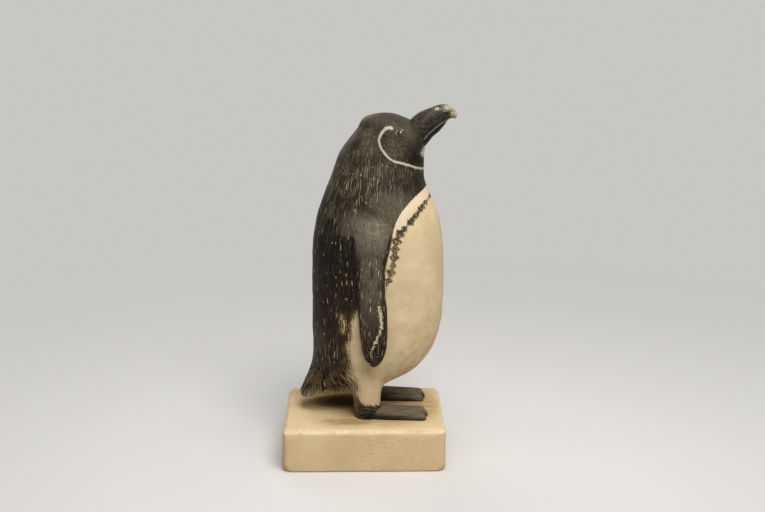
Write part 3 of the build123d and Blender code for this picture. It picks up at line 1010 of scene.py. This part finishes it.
# Brush dashes along y of a flow: one in each cell of a stretched cell pattern, a little askew,
# with edges roughened by noise.
def dashes(paint, flow, cell, halfWidth, halfLength, keep, shift, rough):
    spot = paint.stretch(flow, (1 / cell[0], 1 / cell[1], 1), shift)
    cells = {"Vector": spot, "Scale": 1.0, "Randomness": 1.0}
    nearest = paint.node("TexVoronoi", cells, voronoi_dimensions="2D").outputs
    offset = paint.node("VectorMath", {0: spot, 1: nearest["Position"]}, operation="SUBTRACT").outputs[0]
    offset = paint.node("VectorMath", {0: offset, 1: (*cell, 1)}, operation="MULTIPLY").outputs[0]
    across, along, _ = paint.apart(offset)
    chosen, size, lean = paint.node("SeparateColor", {0: nearest["Color"]}).outputs
    strength = paint.ramp(size, 0, 1, 0.4, 1.0)
    size = paint.ramp(size, 0, 1, 0.3, 1.0)
    across = paint.plus(across, paint.times(along, paint.ramp(lean, 0, 1, -0.16, 0.16)))
    across = paint.math("DIVIDE", paint.math("ABSOLUTE", across), paint.times(size, halfWidth))
    along = paint.math("DIVIDE", paint.math("ABSOLUTE", along), paint.times(size, halfLength))
    inside = paint.plus(paint.math("POWER", across, 2.0), paint.math("POWER", along, 3.0))
    inside = paint.plus(inside, paint.times(paint.minus(rough, 0.5), 3.2))
    return paint.times(paint.ramp(inside, 1.15, 0.6), strength, paint.math("LESS_THAN", chosen, keep))


# Painted wood of the bird: cream breast, charcoal back with brush hairs and pale dashes, pale band, dark dabs
def birdPaint():
    paint = newPaint("painted carving")
    plus, minus, times, most = paint.plus, paint.minus, paint.times, paint.most
    ramp, coats, noise, number = paint.ramp, paint.coats, paint.noise, paint.number
    spot, flow, tailWay = paint.place(), paint.vector("flow"), paint.vector("tailFlow")
    coat, rub, height = number("coat"), number("rub"), number("height")
    ankle, wing, tail = number("ankle"), number("wing"), number("tail")
    quiet = minus(1.0, most(number("hush"), tail))
    fine, grit = noise(spot, 1.1, 4.0, 0.6), noise(spot, 2.6, 2.0)
    broad, patchy = noise(spot, 0.09, 3.0), noise(spot, 0.17, 3.0)
    hair = noise(paint.stretch(flow, (2.6, 0.16, 1)), 1.0, 3.0, 0.6)
    hairFine = noise(paint.stretch(flow, (5.5, 0.22, 1), (7, 3, 0)), 1.0, 2.0)
    level = noise(paint.place((0.18, 0.18, 2.0)), 1.0, 3.0)
    fineOff, gritOff, hairOff, hairFineOff = (minus(value, 0.5) for value in (fine, grit, hair, hairFine))
    # edge of the dark coat: crisp on the breast, dry brush low on the flank
    wander = plus(
        times(hairOff, ramp(height, 60, 48, 0.5, 8.0)),
        times(hairFineOff, ramp(height, 60, 48, 0.0, 6.0)),
        times(fineOff, ramp(height, 60, 48, 1.0, 4.0)),
    )
    edge = plus(coat, times(wander, ramp(ankle, 0, 1, 1.0, 0.55)))
    dark = ramp(edge, -0.12, 0.16)
    thin = times(ramp(edge, 3.0, 0.2), ramp(hairFine, 0.38, 0.58))
    thin = times(thin, ramp(height, 60, 50), ramp(ankle, 0, 1, 0.8, 0.12))
    # dark dabs beside the coat's edge, browner low down
    dabGap, dabRun, _ = paint.apart(paint.vector("dabs"))
    clump = noise(paint.together(dabRun, 3.0), 0.45, 1.0)
    beat = paint.math("SINE", plus(times(dabRun, 1.8), times(clump, 5.0)))
    reach = plus(ramp(beat, -1, 1, 0.65, 1.7), ramp(clump, 0.35, 0.65, -0.3, 0.4))
    reach = times(reach, ramp(height, 104, 92, 0.75, 1.2))
    away = paint.math("ABSOLUTE", dabGap)
    ragged = minus(noise(paint.place((1.3, 1.3, 0.6)), 0.9, 3.0, 0.7), 0.5)
    ragged = times(ragged, ramp(height, 94, 84, 3.4, 2.0))
    gap = plus(away, times(fineOff, 2.2), times(gritOff, 1.2), ragged)
    dabs = times(ramp(minus(reach, gap), -0.1, 0.25), ramp(away, 3.6, 2.4), ramp(fine, 0.34, 0.48, 0.4, 0.95))
    brownish = times(ramp(height, 91, 80), ramp(grit, 0.35, 0.55, 0.2, 0.9))
    dabTone = coats("charcoal", (brownish, "umber"))
    # cream: bright beside the coat; painted shade, dust and specks lower down
    besideCoat = times(ramp(coat, -7, -1), ramp(height, 78, 96, 0.0, 0.7))
    # painted shade: patchy dust and a smooth darkening towards the bottom
    grime = times(ramp(noise(spot, 0.25, 4.0, 0.6), 0.42, 0.72), ramp(height, 60, 15, 0.12, 0.65))
    grime = times(plus(grime, ramp(height, 44, 16, 0.0, 0.26)), ramp(height, 26, 16, 1.0, 0.6))
    specks = ramp(noise(spot, 0.9, 1.0), 0.75, 0.80, 0.0, 0.5)
    cream = coats(
        "cream", (ramp(broad, 0.35, 0.7), "creamPale"), (besideCoat, "creamBright"), (grime, "creamShade"),
        (specks, "umber"),
    )
    # charcoal: olive and patchy on the head, greyer with rubbed wear and painted sheen, brown hairs low down,
    # streaks at the ankles
    combed = times(ramp(hair, 0.45, 0.80), ramp(height, 131, 136, 1.0, 0.3))
    upper = times(ramp(fine, 0.32, 0.66), ramp(patchy, 0.35, 0.62, 0.3, 1.0), ramp(height, 92, 118))
    streaky = times(ramp(hair, 0.36, 0.56, 0.2, 1.0), ramp(fine, 0.3, 0.6, 0.5, 1.0))
    even = ramp(plus(fine, hair), 0.75, 1.1, 0.4, 1.0)
    # the painted sheen and wear are even on the shoulder and in streaks on the flipper below it
    smooth = ramp(height, 76, 86)  # the shoulder is rubbed smooth, the flipper below it in streaks
    rubbed = times(rub, plus(times(even, smooth), times(streaky, minus(1.0, smooth))))
    brown = times(ramp(hairFine, 0.50, 0.64), ramp(height, 76, 22, 0.15, 1.0), quiet)
    streaked = times(ankle, ramp(height, 11, 8), ramp(level, 0.48, 0.60, 0.0, 0.75))
    black = coats(
        "charcoal", (combed, "charcoalGrey"), (upper, "olive"), (rubbed, "rubbed"),
        # painted shade on the throat below the bill
        (times(number("throat"), 0.85), "charcoal"), (brown, "umber"), (streaked, "rubbed"),
    )
    # the tail's own strokes, spread like a fan, with its lower edge worn pale
    tailHair = noise(paint.stretch(tailWay, (2.4, 0.13, 1)), 1.0, 4.0, 0.65)
    tailPale = dashes(paint, tailWay, (0.9, 5.0), 0.14, 3.2, 0.6, (2, 8, 0), grit)
    blotch = ramp(noise(spot, 0.3, 2.0), 0.60, 0.50, 0.15, 1.0)
    combedOut = times(ramp(tailHair, 0.44, 0.66), blotch)
    fanned = coats("charcoal", (combedOut, "amber"), (times(tailPale, blotch, 0.6), "stroke"))
    worn = times(tail, ramp(edge, 4.4, 0.8), ramp(tailHair, 0.43, 0.55, 0.0, 0.8))
    # pale strokes, thick in some places and sparse in others
    crowd = ramp(noise(spot, 0.07, 2.0), 0.38, 0.62, 0.2, 1.0)
    share = plus(times(crowd, ramp(height, 78, 94, 0.40, 0.52)), times(wing, 0.5))
    bold = dashes(paint, flow, (2.7, 5.2), 0.22, 1.7, share, (3, 1, 0), grit)
    slim = dashes(paint, flow, (0.9, 6.5), 0.12, 3.4, times(crowd, 0.75), (11, 7, 0), grit)
    thread = dashes(paint, flow, (0.5, 9.0), 0.08, 4.4, times(crowd, 0.9), (17, 4, 0), grit)
    speck = dashes(paint, flow, (2.6, 3.1), 0.26, 0.45, 0.24, (5, 9, 0), grit)
    hairy = most(ramp(height, 80, 100, 0.15, 0.8), ramp(height, 46, 34, 0.15, 0.6))
    strokes = most(bold, speck, times(most(slim, times(thread, 0.7)), hairy))
    # hairline cracks, and worn patches on the flippers
    first, second, _ = paint.apart(paint.vector("cracks"))
    nearest = paint.math("MINIMUM", paint.math("ABSOLUTE", first), paint.math("ABSOLUTE", second))
    crack = ramp(plus(nearest, times(fineOff, 2.4)), 0.30, 0.05)
    crack = times(crack, ramp(broad, 0.35, 0.6, 0.2, 1.0))
    wear = plus(number("wear"), times(fineOff, 3.6), times(gritOff, 2.6))
    black = coats(
        black, (tail, fanned), (thin, "amber"), (worn, "stroke"), (times(strokes, quiet, 0.85), "stroke"),
        (times(crack, 0.16), "stroke"), (times(ramp(wear, -0.05, 0.25), wing), "stroke"),
    )
    # coat, dabs, band and chin over the cream
    band = plus(number("band"), times(fineOff, 1.1), times(gritOff, 0.7))
    chin = plus(number("chin"), times(fineOff, 1.7), times(hairFineOff, 0.8))
    colour = coats(
        cream, (dark, black), (dabs, dabTone), (ramp(band, -0.12, 0.2, 0.0, 0.92), "bandWhite"),
        (ramp(chin, 0.02, 0.22, 0.0, 0.95), "bandWhite"),
    )
    relief = paint.bump(fine, 0.05, 0.5, paint.bump(minus(hair, crack), 0.06, 0.6))
    return paint.finish(colour, ramp(fine, 0.3, 0.7, 0.42, 0.6), relief, 0.09)


def billPaint():
    paint = newPaint("bill paint")
    times, ramp, number = paint.times, paint.ramp, paint.number
    fine = paint.noise(paint.place(), 1.3, 4.0, 0.6)
    streak = paint.noise(paint.place((0.35, 1.6, 0.9)), 1.0, 3.0)
    grey = paint.coats("charcoalGrey", (ramp(streak, 0.35, 0.7), "olive"))
    root = times(number("root"), ramp(fine, 0.45, 0.6, 0.0, 0.8))
    worn = paint.plus(number("worn"), times(paint.minus(fine, 0.5), 3.4))
    ledge = times(number("ledge"), ramp(fine, 0.3, 0.5, 0.0, 0.8))
    # the lower mandible painted darker as painted shade, and a painted highlight along the mouth's ledge
    colour = paint.coats(
        "charcoal", (ramp(fine, 0.3, 0.6), grey), (number("below"), "charcoal"), (root, "umber"),
        (ramp(worn, -0.7, 0.1, 0.0, 0.5), "olive"), (ramp(worn, 0.0, 0.7, 0.0, 0.7), "stroke"),
        (ledge, "sheen"),
    )
    return paint.finish(colour, 0.38, paint.bump(fine, 0.06, 0.6), 0.15)


def footPaint():
    paint = newPaint("foot paint")
    fine = paint.noise(paint.place(), 1.0, 4.0, 0.6)
    streak = paint.noise(paint.place((0.12, 1.3, 1.3)), 1.0, 3.0)
    # painted sheen: the upward faces are painted lighter grey
    worn = paint.times(paint.number("top"), paint.ramp(streak, 0.3, 0.6, 0.35, 1.0), 0.9)
    colour = paint.coats("charcoal", (paint.ramp(streak, 0.40, 0.7), "soot"), (worn, "footGrey"))
    relief = paint.bump(streak, 0.16, 0.8, paint.bump(fine, 0.05, 0.6))
    return paint.finish(colour, 0.6, relief, 0.06)


# Cream block: pale worn edges with a painted highlight, brown soil round the feet, painted shadow under the
# tail, grain lines, nicks and specks
def blockPaint():
    paint = newPaint("block paint")
    times, ramp, noise, number = paint.times, paint.ramp, paint.noise, paint.number
    spot = paint.place()
    fine, broad = noise(spot, 0.9, 4.0, 0.6), noise(spot, 0.06, 3.0)
    grain = noise(paint.place((0.10, 0.9, 1.3)), 1.0, 3.0, 0.6)
    x, y, z = paint.apart(spot)
    wall = paint.together(z, paint.plus(x, y))  # the nicks run along the walls
    nicks = times(dashes(paint, wall, (0.9, 2.6), 0.18, 1.2, 0.85, (2, 5, 0), fine), number("nicked"))
    stain = ramp(noise(paint.place((0.5, 1.3, 1)), 0.25, 4.0), 0.28, 0.50, 0.0, 0.95)
    # on the block this mask is only the painted shadow under the tail
    grime = times(number("grime"), ramp(fine, 0.2, 0.6, 0.85, 1.0))
    specks = ramp(noise(spot, 0.7, 1.0), 0.71, 0.75, 0.0, 0.4)
    uneven = ramp(noise(spot, 0.16, 2.0), 0.38, 0.60, 0.5, 1.0)
    # the top edge painted pale, unevenly: wear and a painted highlight
    edge = times(number("edge"), ramp(fine, 0.3, 0.55), uneven, 0.95)
    chip = ramp(paint.plus(number("chip"), paint.minus(fine, 0.5)), 0.35, 0.55, 0.0, 0.7)
    colour = paint.coats(
        "blockCream", (ramp(broad, 0.3, 0.7), "blockPale"),
        (ramp(grain, 0.58, 0.72, 0.0, 0.35), "creamShade"), (times(nicks, 0.6), "creamShade"),
        (times(number("soil"), stain), "creamShade"),
        # painted shadow under the tail: an amber rim round a dark core
        (ramp(grime, 0.0, 0.4, 0.0, 0.8), "amber"), (ramp(grime, 0.28, 0.9, 0.0, 0.85), "soot"),
        (specks, "umber"), (edge, "blockWornHighlight"), (chip, "chip"),
    )
    relief = paint.bump(paint.minus(fine, nicks), 0.06, 0.5, paint.bump(grain, 0.08, 0.5))
    return paint.finish(colour, ramp(fine, 0.3, 0.7, 0.5, 0.65), relief, 0.0)


def beadGlass():
    paint = newPaint("bead glass")
    colour = paint.coats("beadDark", (paint.noise(paint.place(), 0.8, 2.0), "beadBrown"))
    return paint.finish(colour, 0.09, gloss=0.7, **{"Coat Weight": 0.5, "Coat Roughness": 0.09})


def lidPaint():
    paint = newPaint("lid putty")
    fine = paint.noise(paint.place(), 1.1, 3.0)
    worn = paint.times(paint.ramp(paint.number("lift"), 0.08, 0.26), paint.ramp(fine, 0.44, 0.57), 0.65)
    colour = paint.coats("charcoalGrey", (paint.ramp(fine, 0.3, 0.6), "olive"), (worn, "stroke"))
    return paint.finish(colour, 0.6, paint.bump(fine, 0.06, 0.6), 0.1)


def bareWood():
    paint = newPaint("bare wood")
    grain = paint.noise(paint.place((1.2, 1.2, 0.12)), 1.0, 4.0, 0.6)
    colour = paint.coats("wood", (paint.ramp(grain, 0.3, 0.7), "woodPale"))
    return paint.finish(colour, 0.65, paint.bump(grain, 0.06, 0.6))


def screwSteel():
    paint = newPaint("screw steel")
    scratch = paint.noise(paint.place((1.5, 1.5, 4.0)), 1.0, 3.0)
    rust = paint.ramp(paint.noise(paint.place(), 0.5, 3.0), 0.58, 0.7, 0.0, 0.6)
    colour = paint.coats("steel", (rust, "rust"))
    return paint.finish(colour, paint.ramp(scratch, 0.3, 0.7, 0.28, 0.45), Metallic=0.9)


carvingPaint = birdPaint()
makeBody(carvingPaint)
print("body ready")
makeHead(carvingPaint)
makeBill(billPaint())
footCoat, glass, putty = footPaint(), beadGlass(), lidPaint()
for side in sideNames:
    makeFlipper(side, carvingPaint)
    makePlug(side, carvingPaint)
    makeFoot(side, footCoat)
    makeEye(side, glass, putty)
print("head, bill, flippers, feet and eyes ready")
makeBlock(blockPaint())
print("block ready")

wood, steel = bareWood(), screwSteel()
inside = {
    "neck_dowel": wood, "right_shoulder_peg": wood, "left_shoulder_peg": wood,
    "right_eye_wire": steel, "left_eye_wire": steel, "leg_screws": steel,
}
for name, material in inside.items():
    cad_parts[name].data.materials.clear()
    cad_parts[name].data.materials.append(material)
print("hidden pieces ready")

# Pale floor that fades into a pale background, soft light from above, front and back, the photo's viewpoint.
# A lamp is its name, place, aim, size and power.
studio = {
    "lens": 57.2, "sensor": 36.0, "place": (-0.000586, -0.5464, 0.21926), "pitch": 12.924, "yaw": 0.985,
    "pale": (0.58, 0.565, 0.54), "floorTone": 0.60, "fadeFrom": 120.0, "fadeTo": 420.0, "skyStrength": 0.06,
    "floorReach": 3000, "floorSides": 96,
    "lamps": [
        ("overhead", (0.10, -0.18, 0.85), (0.0, 0.0, 0.06), 0.6, 5.5),
        ("front", (0.25, -0.72, 0.88), (0.0, 0.0, 0.07), 0.6, 9.6),
        ("back", (-0.35, 0.75, 0.60), (0.0, 0.0, 0.07), 0.6, 2.5),
    ],
}


# 1 for rays that show the background: straight from the camera, or by way of gloss or glass
def seenRay(paint):
    path = paint.node("LightPath").outputs
    return paint.most(path["Is Camera Ray"], path["Is Glossy Ray"], path["Is Transmission Ray"])


# One wide round face, whose paint turns into the background's tone with distance.
def makeFloor():
    paint = newPaint("pale floor")
    spot = paint.place()
    away = paint.node("VectorMath", {0: spot}, operation="LENGTH").outputs["Value"]
    far = paint.times(paint.ramp(away, studio["fadeFrom"], studio["fadeTo"]), seenRay(paint))
    tone = [studio["floorTone"] * c / studio["pale"][0] for c in studio["pale"]]
    colour = paint.coats([c * 0.98 for c in tone], (paint.noise(spot, 0.01, 2.0), tone))
    near = paint.node("BsdfDiffuse", {"Color": colour}).outputs[0]
    glow = paint.node("Emission", {"Color": (*studio["pale"], 1), "Strength": 1.0}).outputs[0]
    surface = paint.node("MixShader", {0: far, 1: near, 2: glow}).outputs[0]
    paint.node("OutputMaterial", {"Surface": surface})
    count, reach = studio["floorSides"], studio["floorReach"]
    turn = fullTurn(count)
    ring = np.stack((reach * np.cos(turn), reach * np.sin(turn), np.full(count, -standPlace[2])), -1)
    mesh = bpy.data.meshes.new("floor")
    mesh.from_pydata(toModel(ring), [], [list(range(count))])
    mesh.materials.append(paint.owner)
    floor = addObject("floor", mesh)


# Faint even light all round, and the pale background where it is seen
def makeWorld():
    paint = Paint(bpy.data.worlds.new("studio"))
    bpy.context.scene.world = paint.owner
    sky = paint.node("Background", {"Color": (1, 1, 1, 1), "Strength": studio["skyStrength"]}).outputs[0]
    pale = paint.node("Background", {"Color": (*studio["pale"], 1), "Strength": 1.0}).outputs[0]
    both = paint.node("MixShader", {0: seenRay(paint), 1: sky, 2: pale}).outputs[0]
    paint.node("OutputWorld", {"Surface": both})


def makeLamps():
    for name, place, target, size, power in studio["lamps"]:
        lamp = bpy.data.lights.new(name, "AREA")
        lamp.size, lamp.energy = size, power
        holder = addObject(name, lamp)
        look = np.array(target) - np.array(place)
        holder.location = place
        tilt = math.atan2(math.hypot(look[0], look[1]), -look[2])
        holder.rotation_euler = (tilt, 0, math.atan2(look[1], look[0]) - math.pi / 2)


def makeCamera():
    lens = bpy.data.cameras.new("viewpoint")
    lens.lens, lens.sensor_width = studio["lens"], studio["sensor"]
    lens.clip_start = 0.01
    camera = addObject("viewpoint", lens)
    camera.location = studio["place"]
    camera.rotation_euler = (math.radians(90 - studio["pitch"]), 0, math.radians(-studio["yaw"]))
    bpy.context.scene.camera = camera
    bpy.context.scene.view_settings.view_transform = "Standard"


makeFloor()
makeWorld()
makeLamps()
makeCamera()
print("studio ready")
